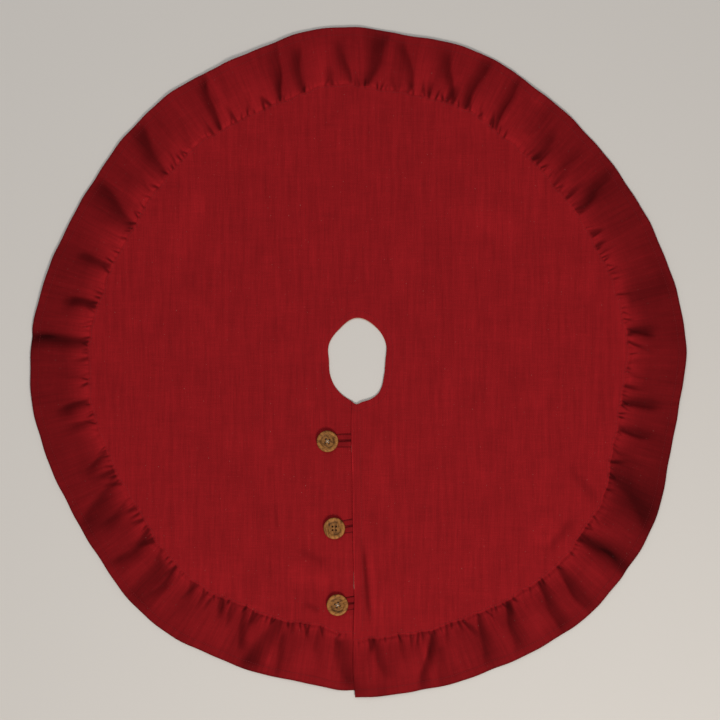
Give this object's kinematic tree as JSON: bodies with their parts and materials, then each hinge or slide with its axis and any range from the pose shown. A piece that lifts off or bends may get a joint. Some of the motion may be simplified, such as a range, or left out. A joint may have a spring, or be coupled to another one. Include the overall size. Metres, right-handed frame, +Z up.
{
  "type": "tree skirt",
  "caption": "Round red cloth tree skirt laid flat, with a trunk hole, a gathered ruffle round the edge, and a front slit closed by wooden buttons in fabric loops.",
  "frame": {"origin": "centre of the part's outline in plan, at the floor", "axes": "+Z up, out of the cloth's face; the slit runs from the hole toward -Y; the buttons are on the -X side of the slit"},
  "size_m": [1.2188, 1.2464, 0.0114],
  "materials": {
    "skirt_cloth": "matte coarse plain-weave cloth with slubs",
    "facing_cloth": "matte undyed cotton",
    "loop_cloth": "matte folded cloth tape",
    "button_wood": "satin turned wood",
    "red_thread": "sewing thread",
    "button_thread": "sewing thread"
  },
  "bodies": {
    "left_half": {"left_panel": "skirt_cloth", "left_ruffle": "skirt_cloth", "left_neck_facing": "facing_cloth", "left_slit_facing": "facing_cloth", "left_gather_thread": "red_thread", "left_hem_thread": "red_thread", "left_neck_thread": "red_thread", "left_slit_thread": "red_thread", "button_loop_1": "loop_cloth", "button_loop_2": "loop_cloth", "button_loop_3": "loop_cloth"},
    "right_half": {"right_panel": "skirt_cloth", "right_ruffle": "skirt_cloth", "right_neck_facing": "facing_cloth", "right_slit_facing": "facing_cloth", "right_gather_thread": "red_thread", "right_hem_thread": "red_thread", "right_neck_thread": "red_thread", "right_slit_thread": "red_thread"},
    "button_stem_1": {"button_shank_1": "button_thread"},
    "button_disc_1": {"button_1": "button_wood", "button_thread_1": "button_thread"},
    "button_stem_2": {"button_shank_2": "button_thread"},
    "button_disc_2": {"button_2": "button_wood", "button_thread_2": "button_thread"},
    "button_stem_3": {"button_shank_3": "button_thread"},
    "button_disc_3": {"button_3": "button_wood", "button_thread_3": "button_thread"}
  },
  "joints": [
    {"name": "half_fold", "type": "hinge", "parent": "left_half", "child": "right_half", "pos_m": [-0.012, 0, 0.009], "axis": [0, -1, 0], "range_deg": [0, 150]},
    {"name": "button_1_tilt", "type": "hinge", "parent": "left_half", "child": "button_stem_1", "pos_m": [-0.0567, -0.1462, 0.0022], "axis": [0, 1, 0], "range_deg": [-6, 6]},
    {"name": "button_1_turn", "type": "hinge", "parent": "button_stem_1", "child": "button_disc_1", "pos_m": [-0.0567, -0.1462, 0.005], "axis": [0, 0, 1], "range_deg": [-25, 25]},
    {"name": "button_2_tilt", "type": "hinge", "parent": "left_half", "child": "button_stem_2", "pos_m": [-0.044, -0.3077, 0.0022], "axis": [0, 1, 0], "range_deg": [-6, 6]},
    {"name": "button_2_turn", "type": "hinge", "parent": "button_stem_2", "child": "button_disc_2", "pos_m": [-0.044, -0.3077, 0.005], "axis": [0, 0, 1], "range_deg": [-25, 25]},
    {"name": "button_3_tilt", "type": "hinge", "parent": "left_half", "child": "button_stem_3", "pos_m": [-0.0381, -0.45, 0.0022], "axis": [0, 1, 0], "range_deg": [-6, 6]},
    {"name": "button_3_turn", "type": "hinge", "parent": "button_stem_3", "child": "button_disc_3", "pos_m": [-0.0381, -0.45, 0.005], "axis": [0, 0, 1], "range_deg": [-25, 25]}
  ]
}
